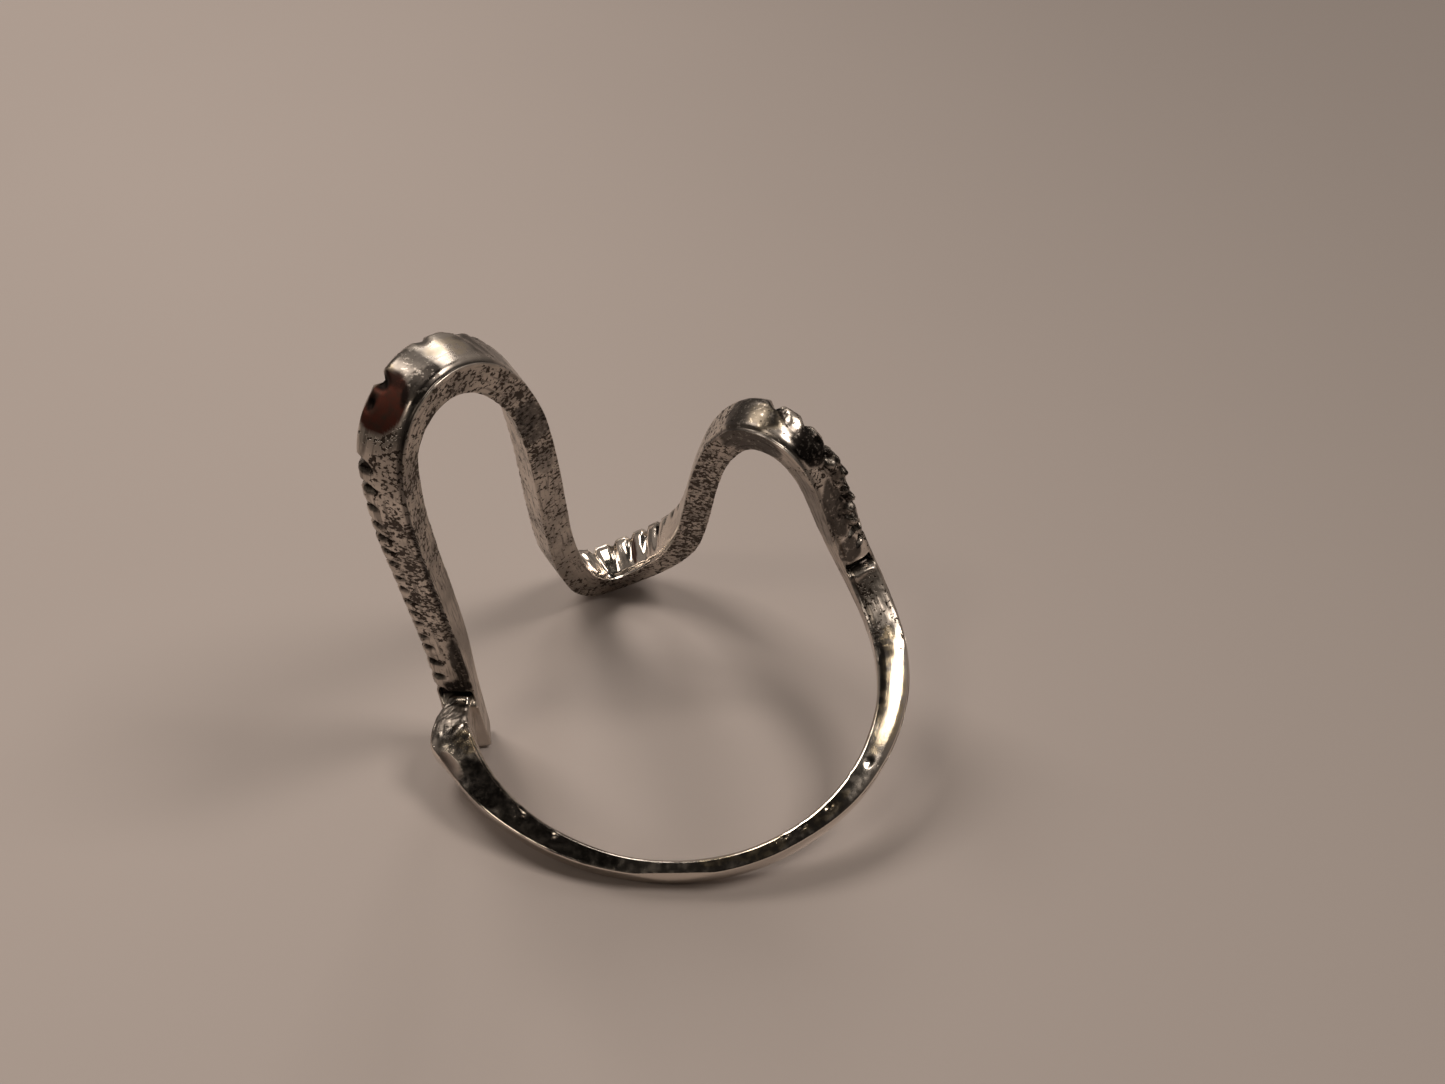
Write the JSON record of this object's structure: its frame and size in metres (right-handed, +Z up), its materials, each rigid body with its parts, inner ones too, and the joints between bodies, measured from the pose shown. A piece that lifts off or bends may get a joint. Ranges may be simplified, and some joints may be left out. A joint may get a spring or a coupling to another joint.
{
  "type": "paperclip ring",
  "caption": "Finger ring of one bent bar: a thin polished shank in front, and a notched bar that waves up over a tall crest, down to a valley and over a lower crest behind.",
  "frame": {"origin": "on the table, below the middle of the ring's box as the ring lies at rest", "axes": "+Z is up from the table. +Y points away from the thin shank towards the waved bar, and +X from the tall crest towards the low crest. The finger's axis leans back from +Z by about 27 degrees, towards -Y."},
  "size_m": [0.0228, 0.0214, 0.0234],
  "materials": {
    "silver": "worn cast silver"
  },
  "bodies": {
    "root": {"wave_ring": "silver"}
  },
  "joints": []
}
